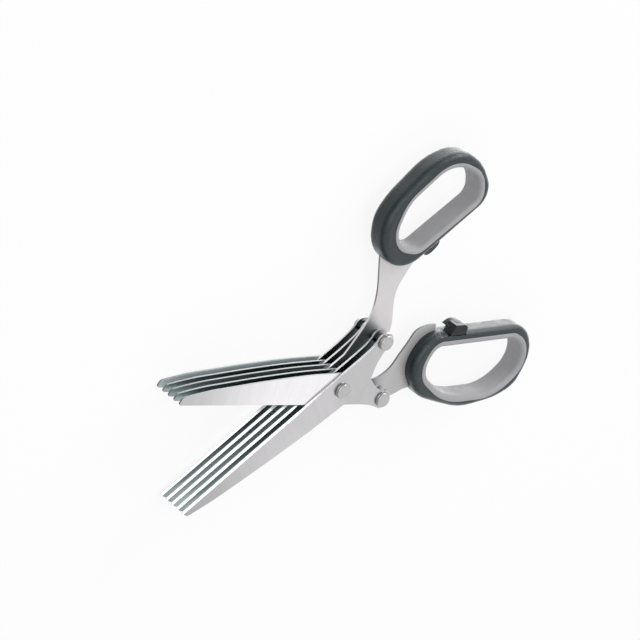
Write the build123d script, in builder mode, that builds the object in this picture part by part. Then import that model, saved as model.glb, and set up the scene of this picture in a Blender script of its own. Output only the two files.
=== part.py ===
"""Herb scissors with five pairs of blades.

Two halves turn on one pivot rivet. Each half has five blades, held apart at the rear by spacers on a
rivet of its own. The middle blade of each half runs on as an arm and ends in the wall of a finger loop.
The smaller loop is for the thumb, and the larger one carries a small lock lever on its straight side.

The scissors lie flat with their front up. The pivot axis is +Z, and the blades point along -X. The origin
is on the pivot axis, on the flat face of the lower rivet head. The halves are drawn side by side as they
lie when shut, each in a plane of its own, and the two planes are turned apart by the opening angle.
"""

from build123d import *
import math
import os

# Blades
BLADE_COUNT = 5
BLADE_THICKNESS = 0.9
BLADE_PITCH = 3.9  # from one blade of a half to the next
SLIDING_GAP = 0.08  # between faces that pass each other
BLADE_REACH = 88.0  # pivot axis to tip
SPINE_DEPTH = 8.0  # pivot axis to spine
EDGE_AT_PIVOT = 7.6  # pivot axis to cutting edge
EDGE_AT_TIP = 1.6
BEVEL_WIDTH = 1.4
BEVEL_DEPTH = 0.6
BEVEL_FULL_UNTIL = 24.0  # before the pivot axis, where the ground edge starts to run out
BEVEL_ENDS_AT = 7.0
BEVEL_END_SHARE = 0.1  # of its width and depth
LOBE_SLOPE = 0.5  # of the cutting side, where it meets the rear end
LOBE_RADIUS = 4.4  # rounded rear end of each blade
REAR_ALONG = 27.0  # rear rivet, along the blade
REAR_ACROSS = 6.9  # rear rivet, across the blade
FINGER_BLADE_TURN = 0.6  # of the finger blades about the pivot, against the line of their half

# Rivets, washers and spacers
OPENING_ANGLE = 37.7  # between the halves as they lie here
PIVOT_RADIUS = 2.0
PIVOT_CLEARANCE = 0.05
REAR_RIVET_RADIUS = 1.5
HEAD_RADIUS = 3.5
HEAD_HEIGHT = 1.5
HEAD_CHAMFER = 0.35
WASHER_RADIUS = 4.0
SPACER_RADIUS = 2.5

# Loops, each given by the low corner and the size of its outline, with the walls left about the liner's hole
GRIP_THICKNESS = 10.6
GRIP_ROUNDING = 3.3
LINER_PROUD = 0.35
LINER_ROUNDING = 0.3
TANG_COVER = 1.0  # plastic between the end of an arm and the liner

THUMB_LOOP_X = 41.3
THUMB_LOOP_Y = 30.4
THUMB_LOOP_LENGTH = 60.2
THUMB_LOOP_WIDTH = 40.0
THUMB_WALL_NEAR = 6.8  # towards the blades
THUMB_WALL_FAR = 3.3
THUMB_WALL_LOW = 4.3
THUMB_WALL_HIGH = 4.2
THUMB_LINER_WALL = 2.2
THUMB_LINER_LIP = 1.5  # rounding of its inner rims

FINGER_LOOP_X = 43.5
FINGER_LOOP_Y = -17.0
FINGER_LOOP_LENGTH = 74.1
FINGER_LOOP_WIDTH = 40.4
FINGER_WALL_NEAR = 5.3
FINGER_WALL_FAR = 3.7
FINGER_WALL_LOW = 3.6
FINGER_WALL_HIGH = 3.2
FINGER_LINER_WALL = 2.8
FINGER_LINER_LIP = 1.7

# Catch bump on the thumb loop
CATCH_ALONG = 60.4
CATCH_ACROSS = 28.2  # its outermost point
CATCH_LENGTH = 10.0
CATCH_HEIGHT = 4.0
CATCH_ROOT = 1.6  # how far it goes on into the grip
CATCH_WIDTH = 6.4
CATCH_ROUNDING = 0.5

# Lock lever, its pin and its pocket in the finger loop
LOCK_PIN_ALONG = 67.0
LOCK_PIN_ACROSS = 21.2
LOCK_PIN_RADIUS = 1.0
LOCK_PIN_CLEARANCE = 0.05
LEVER_REACH = 6.5  # pin to the nose of the hook
LEVER_RISE = 4.95  # pin to the top of the dome
LEVER_BELOW = 2.55  # body behind the middle of the grip
LEVER_ABOVE = 2.45
LEVER_ROUNDING = 0.3
BLOCK_HEIGHT = 5.25  # thumb block, forward from the middle of the grip
PIN_WALL = 0.6  # metal short of the end of its hole in the lever
POCKET_CLEARANCE = 0.3
POCKET_WALL = 0.7  # plastic between the pocket and the end of the arm
POCKET_LEFT = 4.0
POCKET_RIGHT = 4.8
POCKET_BELOW = 1.85
BLOCK_POCKET_LEFT = 7.5  # in front, where only the block lies
BLOCK_POCKET_RIGHT = 3.4
BLOCK_POCKET_BELOW = 0.65
SCOOP_ALONG = 55.1  # shallow scoop in the shoulder of the grip beside the block
SCOOP_ACROSS = 25.0
SCOOP_RADIUS = 5.0
SCOOP_FORWARD = 5.2  # its middle, forward of the middle of the grip

OVERRUN = 2.0  # cuts run past the faces by this much


def half_plane(side, height):
    """Plane of one half at a height; side is 1 for the thumb half and -1 for the finger half."""
    turn = math.radians(side * OPENING_ANGLE / 2)
    return Plane(origin=(0, 0, height), x_dir=(math.cos(turn), math.sin(turn), 0), z_dir=(0, 0, 1))


def blade_plane(side, height):
    """Plane in which the blades of a half are drawn."""
    flat = half_plane(side, height)
    return flat.rotated((0, 0, -FINGER_BLADE_TURN)) if side == FINGER else flat


THUMB = 1
FINGER = -1
MIDDLE = (BLADE_COUNT + 1) // 2


def blade_back(side, level):
    """Height of the back face of a blade; level 1 is the front blade."""
    finger_back = HEAD_HEIGHT + (BLADE_COUNT - level) * BLADE_PITCH
    return finger_back if side == FINGER else finger_back + BLADE_THICKNESS + SLIDING_GAP


STACK_FRONT = blade_back(THUMB, 1) + BLADE_THICKNESS
GRIP_MIDDLE = blade_back(THUMB, MIDDLE) + BLADE_THICKNESS / 2
GRIP_BACK = GRIP_MIDDLE - GRIP_THICKNESS / 2

# Blade outline: spine from the tip to the pivot, then the neck down to the rear lobe
SPINE_SHARES = (
    (-0.986, -0.205),
    (-0.93, -0.32),
    (-0.83, -0.49),
    (-0.70, -0.63),
    (-0.545, -0.775),
    (-0.42, -0.87),
    (-0.24, -0.97),
    (-0.07, -1.0),
)
NECK_SHARES = (
    (0.15, -0.995),
    (0.31, -0.96),
    (0.46, -0.86),
    (0.58, -0.61),
    (0.66, -0.33),
    (0.73, -0.11),
    (0.83, 0.12),
    (0.95, 0.34),
)

# Arm outlines, in shares of a reach along the half and a rise across it
THUMB_ARM_REACH = 44.0
THUMB_ARM_RISE = 44.0
THUMB_ARM_LEFT_SHARES = (
    (0.20, 0.17),
    (0.33, 0.225),
    (0.47, 0.29),
    (0.60, 0.36),
    (0.75, 0.52),
    (0.87, 0.78),
    (0.945, 0.98),
)
THUMB_ARM_RIGHT_SHARES = (
    (1.36, 0.685),
    (1.27, 0.63),
    (1.11, 0.54),
    (1.0, 0.455),
    (0.91, 0.30),
    (0.81, 0.08),
    (0.72, 0.0),
    (0.58, -0.01),
    (0.45, -0.02),
)
THUMB_TANG_SHARES = ((1.03, 1.28), (1.4, 1.2), (1.4, 0.76), (1.365, 0.76))

FINGER_ARM_REACH = 55.0
FINGER_ARM_RISE = 24.4
FINGER_ARM_UPPER_SHARES = (
    (0.36, 0.02),
    (0.43, -0.02),
    (0.51, -0.02),
    (0.575, 0.05),
    (0.635, 0.18),
    (0.685, 0.40),
    (0.75, 0.68),
    (0.80, 0.89),
    (0.87, 0.965),
    (0.955, 1.0),
    (0.99, 1.0),
)
FINGER_TANG_SHARES = ((1.0, 0.97), (1.005, 0.86), (1.06, 0.80), (1.06, -0.2), (0.93, -0.27))
FINGER_ARM_LOWER_SHARES = (
    (0.885, -0.285),
    (0.83, -0.315),
    (0.74, -0.41),
    (0.62, -0.462),
    (0.49, -0.463),
    (0.40, -0.42),
)

# Corners of the loop outlines before rounding, in shares of the length and width of the loop or of its hole,
# each with the share of the side after it that its rounding takes
THUMB_LOOP_SHARES = (
    (1.0, 0.085, 0.47),
    (1.0, 0.58, 0.49),
    (0.865, 0.905, 0.435),
    (0.61, 1.02, 0.315),
    (0.25, 0.91, 0.455),
    (0.085, 0.785, 0.325),
    (-0.04, 0.415, 0.48),
    (0.12, -0.01, 0.17),
)
THUMB_HOLE_SHARES = (
    (0.94, 0.06, 0.37),
    (1.03, 0.46, 0.315),
    (0.79, 1.04, 0.385),
    (0.22, 0.925, 0.28),
    (-0.105, 0.435, 0.645),
    (0.17, -0.005, 0.095),
)
FINGER_LOOP_SHARES = (
    (0.07, 0.945, 0.445),
    (-0.03, 0.535, 0.47),
    (0.12, 0.18, 0.45),
    (0.295, 0.085, 0.345),
    (0.52, -0.02, 0.345),
    (0.815, 0.07, 0.49),
    (0.96, 0.225, 0.295),
    (1.02, 0.645, 0.435),
    (0.9, 1.01, 0.145),
)
FINGER_HOLE_SHARES = (
    (0.055, 0.94, 0.295),
    (-0.05, 0.47, 0.37),
    (0.31, -0.01, 0.36),
    (0.815, 0.015, 0.335),
    (1.15, 0.715, 0.83),
    (0.82, 1.0, 0.04),
)
REST_SHARE = 0.98  # most that the next rounding takes of the rest of that side
CATCH_SHARES = ((0.0, 0.62), (0.12, 0.14), (0.30, 0.0), (0.55, 0.05), (0.80, 0.24), (0.94, 0.52), (1.0, 1.0))

# Lever outlines from the pin, in shares of its reach and rise: the dome from nose to heel, and the sole back
DOME_SHARES = ((-1.0, 0.53), (-0.785, 0.79), (-0.46, 0.97), (-0.06, 0.98), (0.29, 0.87), (0.45, 0.67))
SOLE_SHARES = (
    (0.61, 0.30),
    (0.58, 0.02),
    (0.26, -0.28),
    (-0.26, -0.28),
    (-0.56, 0.04),
    (-0.54, 0.34),
    (-0.74, 0.44),
)
BLOCK_SHARES = ((-1.12, -0.06, 0.12), (-0.8, 0.97, 0.025), (0.40, 0.97, 0.48), (0.40, 0.05, 0.1))


def places(shares, length, width, x=0.0, y=0.0):
    """Points of an outline from its shares of a length and a width."""
    return [(x + along * length, y + across * width) for along, across in shares]


def save(part, name):
    """Label a finished piece and write its file."""
    part.label = name
    export_step(part, f"parts/{name}.step")


def blade_outline(side):
    """Outline of a plain blade but for its rear lobe, in its half's plane."""
    spine = places(SPINE_SHARES, BLADE_REACH, side * SPINE_DEPTH)
    neck = places(NECK_SHARES, REAR_ALONG, side * SPINE_DEPTH)
    lobe_top = (REAR_ALONG, side * (REAR_ACROSS + LOBE_RADIUS))
    with BuildLine() as outline:
        edge = Line((-BLADE_REACH, side * EDGE_AT_TIP), (0, side * EDGE_AT_PIVOT))
        Spline(edge @ 1, lobe_top, tangents=(edge % 1, Vector(1, side * LOBE_SLOPE)))
        Line(lobe_top, neck[-1])
        Spline(spine + neck)
        Line(spine[0], edge @ 0)
    return outline.line


def loop_outline(shares, length, width, x, y):
    """Closed outline of a loop: a polygon whose corners are rounded within their sides."""
    corners = [Vector(*place) for place in places([share[:2] for share in shares], length, width, x, y)]
    sides = [end - start for start, end in zip(corners, corners[1:] + corners[:1])]
    radii = []
    for number, (*_, taken) in enumerate(shares):
        before, after = sides[number - 1], sides[number]
        rest = REST_SHARE * (1 - shares[number - 1][-1])
        reach = min(rest * before.length, taken * after.length)
        radii.append(reach / math.tan(math.radians(before.get_angle(after)) / 2))
    with BuildLine() as outline:
        FilletPolyline(corners, radius=radii, close=True)
    return outline.line


def loop_outside(side):
    """Outline of a grip ring."""
    if side == THUMB:
        return loop_outline(THUMB_LOOP_SHARES, THUMB_LOOP_LENGTH, THUMB_LOOP_WIDTH, THUMB_LOOP_X, THUMB_LOOP_Y)
    return loop_outline(FINGER_LOOP_SHARES, FINGER_LOOP_LENGTH, FINGER_LOOP_WIDTH, FINGER_LOOP_X, FINGER_LOOP_Y)


def loop_hole(side):
    """Outline where a grip ring ends and its liner begins."""
    if side == THUMB:
        length = THUMB_LOOP_LENGTH - THUMB_WALL_NEAR - THUMB_WALL_FAR
        width = THUMB_LOOP_WIDTH - THUMB_WALL_LOW - THUMB_WALL_HIGH
        x, y = THUMB_LOOP_X + THUMB_WALL_NEAR, THUMB_LOOP_Y + THUMB_WALL_LOW
        return loop_outline(THUMB_HOLE_SHARES, length, width, x, y)
    length = FINGER_LOOP_LENGTH - FINGER_WALL_NEAR - FINGER_WALL_FAR
    width = FINGER_LOOP_WIDTH - FINGER_WALL_LOW - FINGER_WALL_HIGH
    x, y = FINGER_LOOP_X + FINGER_WALL_NEAR, FINGER_LOOP_Y + FINGER_WALL_LOW
    return loop_outline(FINGER_HOLE_SHARES, length, width, x, y)


def arm_outline(side):
    """Outline of an arm: one edge, the tang inside the loop's wall, and the other edge."""
    if side == THUMB:
        size = (THUMB_ARM_REACH, THUMB_ARM_RISE)
        first, tang, last = THUMB_ARM_LEFT_SHARES, THUMB_TANG_SHARES, THUMB_ARM_RIGHT_SHARES
    else:
        size = (FINGER_ARM_REACH, FINGER_ARM_RISE)
        first, tang, last = FINGER_ARM_UPPER_SHARES, FINGER_TANG_SHARES, FINGER_ARM_LOWER_SHARES
    out, back = places(first, *size), places(last, *size)
    with BuildLine() as outline:
        Spline(out)
        Polyline(out[-1], *places(tang, *size), back[0])
        Spline(back)
        Line(back[-1], out[0])
    return outline.line


def arm_sketch(side, height):
    """Arm on its plane, kept clear of the liner and of the lever's pocket by walls of plastic."""
    with BuildSketch() as hole:
        make_face(loop_hole(side))
        offset(amount=TANG_COVER)
    with BuildSketch() as clear:
        pocket(POCKET_LEFT, POCKET_RIGHT, POCKET_BELOW)
        offset(amount=POCKET_WALL)
    with BuildSketch(half_plane(side, height)) as arm:
        make_face(arm_outline(side))
        add(hole.sketch, mode=Mode.SUBTRACT)
        if side == FINGER:
            add(clear.sketch, mode=Mode.SUBTRACT)
    return arm.sketch


def bevel_cut(side, level):
    """Wedge that grinds the cutting edge; it runs out before the pivot."""
    face = blade_back(side, level) + (BLADE_THICKNESS if side == THUMB else 0)
    flat = blade_plane(side, face)
    start = flat.from_local_coords((-BLADE_REACH, side * EDGE_AT_TIP, 0))
    end = flat.from_local_coords((0, side * EDGE_AT_PIVOT, 0))
    along = (end - start).normalized()
    inward = Vector(0, 0, 1).cross(along) * -side
    length = (end - start).length
    stations = ((-OVERRUN, 1), (length - BEVEL_FULL_UNTIL, 1), (length - BEVEL_ENDS_AT, BEVEL_END_SHARE))
    with BuildPart() as wedge:
        for station, share in stations:
            plane = Plane(origin=start + along * station, x_dir=inward, z_dir=along)
            up = plane.y_dir.Z * side
            width, depth = BEVEL_WIDTH * share, BEVEL_DEPTH * share
            with BuildSketch(plane):
                Polygon(
                    (width * (1 + OVERRUN / depth), up * OVERRUN),
                    (-OVERRUN, up * OVERRUN),
                    (-OVERRUN, -up * depth * (1 + OVERRUN / width)),
                    align=None,
                )
        loft(ruled=True)
    return wedge.part


def make_blade(side, level, name):
    """One blade, with its ground edge and its two rivet holes; the middle one has the arm."""
    back = half_plane(side, blade_back(side, level))
    bore = PIVOT_RADIUS + (PIVOT_CLEARANCE if side == THUMB else 0)
    arm = arm_sketch(side, blade_back(side, level)) if level == MIDDLE else None
    wedge = bevel_cut(side, level)
    with BuildPart() as blade:
        with BuildSketch(blade_plane(side, blade_back(side, level))):
            make_face(blade_outline(side))
        extrude(amount=BLADE_THICKNESS)
        with BuildSketch(back):
            with Locations((REAR_ALONG, side * REAR_ACROSS)):
                Circle(LOBE_RADIUS)
        extrude(amount=BLADE_THICKNESS)
        if arm:
            extrude(arm, amount=BLADE_THICKNESS)
        with BuildSketch(back):
            Circle(bore)
            with Locations((REAR_ALONG, side * REAR_ACROSS)):
                Circle(REAR_RIVET_RADIUS)
        extrude(amount=BLADE_THICKNESS, mode=Mode.SUBTRACT)
        add(wedge, mode=Mode.SUBTRACT)
    save(blade.part, name)


def make_rivet(plane, shaft_radius, seat, top, name):
    """Round rivet with a flat head at each end; the seat is the face that its lower head bears on."""
    low = plane.offset(seat - HEAD_HEIGHT)
    high = plane.offset(top)
    with BuildPart() as rivet:
        with BuildSketch(low):
            Circle(HEAD_RADIUS)
        extrude(amount=HEAD_HEIGHT)
        with BuildSketch(plane.offset(seat)):
            Circle(shaft_radius)
        extrude(amount=top - seat)
        with BuildSketch(high):
            Circle(HEAD_RADIUS)
        extrude(amount=HEAD_HEIGHT)
        ends = rivet.faces().sort_by(Axis.Z)
        chamfer(ends[0].edges() + ends[-1].edges(), HEAD_CHAMFER)
    save(rivet.part, name)


def make_ring(plane, radius, bore, height, name):
    """Washer or spacer."""
    with BuildPart() as ring:
        with BuildSketch(plane):
            Circle(radius)
            Circle(bore, mode=Mode.SUBTRACT)
        extrude(amount=height)
    save(ring.part, name)


def make_liner(side, name):
    """Light liner inside a loop, a little proud of the grip on both faces, with well rounded inner rims."""
    wall, lip = (THUMB_LINER_WALL, THUMB_LINER_LIP) if side == THUMB else (FINGER_LINER_WALL, FINGER_LINER_LIP)
    with BuildPart() as liner:
        with BuildSketch(half_plane(side, GRIP_BACK - LINER_PROUD)):
            make_face(loop_hole(side))
            offset(amount=-wall, mode=Mode.SUBTRACT)
        extrude(amount=GRIP_THICKNESS + 2 * LINER_PROUD)
        back, front = liner.faces().filter_by(Axis.Z)
        fillet(back.inner_wires()[0].edges() + front.inner_wires()[0].edges(), lip)
        back, front = liner.faces().filter_by(Axis.Z)
        fillet(back.outer_wire().edges() + front.outer_wire().edges(), LINER_ROUNDING)
    save(liner.part, name)


def grip_ring(side):
    """Grip ring before its own features: rounded outside, with the hole for the liner."""
    with BuildPart() as ring:
        with BuildSketch(half_plane(side, GRIP_BACK)):
            make_face(loop_outside(side))
        extrude(amount=GRIP_THICKNESS)
        fillet(ring.faces().filter_by(Axis.Z).edges(), GRIP_ROUNDING)
        with BuildSketch(half_plane(side, GRIP_BACK)):
            make_face(loop_hole(side))
        extrude(amount=GRIP_THICKNESS, mode=Mode.SUBTRACT)
    return ring.part


def catch_bump():
    """Catch on the straight side of the thumb loop, with its root inside the grip."""
    outline = places(CATCH_SHARES, CATCH_LENGTH, CATCH_HEIGHT, CATCH_ALONG, CATCH_ACROSS)
    root = CATCH_ACROSS + CATCH_HEIGHT + CATCH_ROOT
    with BuildPart() as bump:
        with BuildSketch(half_plane(THUMB, GRIP_MIDDLE - CATCH_WIDTH / 2)):
            with BuildLine():
                Spline(outline)
                Polyline(outline[-1], (outline[-1][0], root), (outline[0][0], root), outline[0])
            make_face()
        extrude(amount=CATCH_WIDTH)
        fillet(bump.faces().filter_by(Axis.Z).edges(), CATCH_ROUNDING)
    return bump.part


def make_thumb_grip():
    """Grip of the thumb loop, with the catch bump."""
    arm = arm_sketch(THUMB, blade_back(THUMB, MIDDLE))
    with BuildPart() as grip:
        add(grip_ring(THUMB))
        add(catch_bump())
        extrude(arm, amount=BLADE_THICKNESS, mode=Mode.SUBTRACT)
    save(grip.part, "thumb_grip")


def pocket(left, right, below):
    """Outline of a part of the lever's pocket, open at the top, in the finger half's plane."""
    left, right = LOCK_PIN_ALONG - left, LOCK_PIN_ALONG + right
    floor, top = LOCK_PIN_ACROSS - below, LOCK_PIN_ACROSS + LEVER_RISE
    return Polygon((left, floor), (right, floor), (right, top), (left, top), align=None)


def make_finger_grip():
    """Grip of the finger loop, with the lock lever's pocket, the hole for its pin and the scoop beside it."""
    arm = arm_sketch(FINGER, blade_back(FINGER, MIDDLE))
    pocket_back = GRIP_MIDDLE - LEVER_BELOW - POCKET_CLEARANCE
    pocket_front = GRIP_MIDDLE + LEVER_ABOVE + POCKET_CLEARANCE
    with BuildPart() as grip:
        add(grip_ring(FINGER))
        with BuildSketch(half_plane(FINGER, pocket_back)):
            pocket(POCKET_LEFT, POCKET_RIGHT, POCKET_BELOW)
        extrude(amount=pocket_front - pocket_back, mode=Mode.SUBTRACT)
        with BuildSketch(half_plane(FINGER, GRIP_MIDDLE)):
            pocket(BLOCK_POCKET_LEFT, BLOCK_POCKET_RIGHT, BLOCK_POCKET_BELOW)
        extrude(amount=GRIP_THICKNESS, mode=Mode.SUBTRACT)
        with BuildSketch(half_plane(FINGER, GRIP_BACK)):
            with Locations((LOCK_PIN_ALONG, LOCK_PIN_ACROSS)):
                Circle(LOCK_PIN_RADIUS)
        extrude(amount=GRIP_THICKNESS / 2, mode=Mode.SUBTRACT)
        extrude(arm, amount=BLADE_THICKNESS, mode=Mode.SUBTRACT)
        with Locations(half_plane(FINGER, GRIP_MIDDLE + SCOOP_FORWARD)):
            with Locations((SCOOP_ALONG, SCOOP_ACROSS)):
                Sphere(SCOOP_RADIUS, mode=Mode.SUBTRACT)
    save(grip.part, "finger_grip")


def lever_outline():
    """Hook, dome and heel of the lever, with a low sole about the pin."""
    dome = places(DOME_SHARES, LEVER_REACH, LEVER_RISE, LOCK_PIN_ALONG, LOCK_PIN_ACROSS)
    sole = places(SOLE_SHARES, LEVER_REACH, LEVER_RISE, LOCK_PIN_ALONG, LOCK_PIN_ACROSS)
    with BuildLine() as outline:
        Spline(dome)
        Polyline(dome[-1], *sole, dome[0])
    return outline.line


def make_lever():
    """Lock lever: the hooked body and, in front of it, the block that the thumb pushes."""
    back = GRIP_MIDDLE - LEVER_BELOW
    front = GRIP_MIDDLE + LEVER_ABOVE
    block = loop_outline(BLOCK_SHARES, LEVER_REACH, LEVER_RISE, LOCK_PIN_ALONG, LOCK_PIN_ACROSS)
    hole_depth = LEVER_BELOW + LEVER_ABOVE - PIN_WALL
    with BuildPart() as lever:
        with BuildSketch(half_plane(FINGER, GRIP_MIDDLE)):
            make_face(block)
        extrude(amount=BLOCK_HEIGHT)
        fillet(lever.faces().sort_by(Axis.Z)[-1].edges(), LEVER_ROUNDING)
        with BuildSketch(half_plane(FINGER, back)):
            make_face(lever_outline())
        extrude(amount=front - back)
        with BuildSketch(half_plane(FINGER, back)):
            with Locations((LOCK_PIN_ALONG, LOCK_PIN_ACROSS)):
                Circle(LOCK_PIN_RADIUS + LOCK_PIN_CLEARANCE)
        extrude(amount=hole_depth, mode=Mode.SUBTRACT)
    save(lever.part, "lock_lever")


def make_lock_pin():
    """Pin of the lock lever, held in the back wall of the finger grip."""
    length = GRIP_THICKNESS / 2 + LEVER_ABOVE - 2 * PIN_WALL
    with BuildPart() as pin:
        with BuildSketch(half_plane(FINGER, GRIP_BACK)):
            with Locations((LOCK_PIN_ALONG, LOCK_PIN_ACROSS)):
                Circle(LOCK_PIN_RADIUS)
        extrude(amount=length)
    save(pin.part, "lock_pin")


def rear_plane(side):
    """Flat plane through the rear rivet of a half, at height zero."""
    flat = half_plane(side, 0)
    axis = flat.from_local_coords((REAR_ALONG, side * REAR_ACROSS, 0))
    return Plane(origin=axis, x_dir=flat.x_dir, z_dir=flat.z_dir)


def make_all():
    """Build every piece and write it."""
    os.makedirs("parts", exist_ok=True)
    for side, half in ((THUMB, "thumb"), (FINGER, "finger")):
        for level in range(1, BLADE_COUNT + 1):
            name = f"{half}_arm_blade" if level == MIDDLE else f"{half}_blade_{level}"
            make_blade(side, level, name)
        rear = rear_plane(side)
        seat = blade_back(side, BLADE_COUNT)
        make_rivet(rear, REAR_RIVET_RADIUS, seat, blade_back(side, 1) + BLADE_THICKNESS, f"{half}_rear_rivet")
        for level in range(1, BLADE_COUNT):
            spacer_plane = rear.offset(blade_back(side, level + 1) + BLADE_THICKNESS)
            height = BLADE_PITCH - BLADE_THICKNESS
            make_ring(spacer_plane, SPACER_RADIUS, REAR_RIVET_RADIUS, height, f"{half}_spacer_{level}")
        make_liner(side, f"{half}_liner")
    make_rivet(Plane.XY, PIVOT_RADIUS, HEAD_HEIGHT, STACK_FRONT + SLIDING_GAP, "pivot_rivet")
    for level in range(1, BLADE_COUNT):
        bottom = blade_back(THUMB, level + 1) + BLADE_THICKNESS + SLIDING_GAP
        height = blade_back(FINGER, level) - bottom
        make_ring(Plane.XY.offset(bottom), WASHER_RADIUS, PIVOT_RADIUS, height, f"pivot_washer_{level}")
    make_thumb_grip()
    make_finger_grip()
    make_lever()
    make_lock_pin()


make_all()
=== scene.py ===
"""Herb scissors with five pairs of blades: finer edges, finishes, studio and camera.

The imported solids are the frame. Grips, liners, lever and pin keep their solids and get their
finishes here. Blades and arms are copies of their solids with finer edges. Rivets, spacers and
washers are made again with rounded edges.
"""

import logging
import math
from dataclasses import dataclass, field
from enum import Enum
from typing import Sequence

import bmesh
import bpy
from mathutils import Matrix, Vector

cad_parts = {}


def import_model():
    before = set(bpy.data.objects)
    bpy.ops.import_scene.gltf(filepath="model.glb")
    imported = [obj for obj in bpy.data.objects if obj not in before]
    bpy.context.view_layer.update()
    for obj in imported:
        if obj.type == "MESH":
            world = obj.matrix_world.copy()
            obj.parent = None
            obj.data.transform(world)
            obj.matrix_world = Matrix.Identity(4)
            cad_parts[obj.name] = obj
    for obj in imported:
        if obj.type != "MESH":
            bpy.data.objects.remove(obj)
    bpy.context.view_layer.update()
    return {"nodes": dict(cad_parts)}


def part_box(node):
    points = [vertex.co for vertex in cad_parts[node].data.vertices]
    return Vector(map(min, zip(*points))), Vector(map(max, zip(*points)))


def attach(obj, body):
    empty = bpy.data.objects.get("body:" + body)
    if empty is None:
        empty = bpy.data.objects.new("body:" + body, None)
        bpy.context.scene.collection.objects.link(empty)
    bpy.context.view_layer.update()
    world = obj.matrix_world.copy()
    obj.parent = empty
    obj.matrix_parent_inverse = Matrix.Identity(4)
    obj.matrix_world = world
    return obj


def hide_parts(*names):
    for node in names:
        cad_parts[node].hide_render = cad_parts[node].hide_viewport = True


LOG = logging.getLogger("herb_scissors")

Colour = tuple[float, float, float]
Span = tuple[float, float]
Socket = bpy.types.NodeSocket
Piece = bpy.types.Object
Nodes = dict[str, Piece]

MM = 0.001
OPENING = math.radians(37.7)
ORIGIN = Vector((0, 0, 0))
RISE: Span = (0.0, 1.0)
FALL: Span = (1.0, 0.0)
NOISE_BAND: Span = (0.3, 0.7)

# Upward share of the facing direction: at least FLAT on a face, at most UPRIGHT on a cut side.
FLAT = 0.99
UPRIGHT = 0.1


class Side(Enum):
    """The two halves, each with the sign of its turn about the pivot."""

    THUMB = 1
    FINGER = -1

    @property
    def word(self) -> str:
        """Word that the half's pieces start with."""
        return self.name.lower()

    @property
    def turn(self) -> float:
        """Angle of the half's own length from +X, in radians."""
        return self.value * OPENING / 2

    @property
    def body(self) -> str:
        """Rigid body that the half's pieces ride on."""
        return f"{self.word}_half"

    @property
    def cutting(self) -> Vector:
        """Direction that the half's cutting edges face."""
        return Matrix.Rotation(self.turn, 3, "Z") @ Vector((0, self.value, 0))

    def along(self, point: Vector) -> float:
        """Place of a point along the half's own length, counted from the pivot."""
        return (Matrix.Rotation(-self.turn, 3, "Z") @ point).x


@dataclass(frozen=True)
class Grain:
    """Noise of one scale, as features to the metre, octaves and strength of the finer octaves."""

    per_m: float
    octaves: float = 3.0
    rough: float = 0.5


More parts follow.
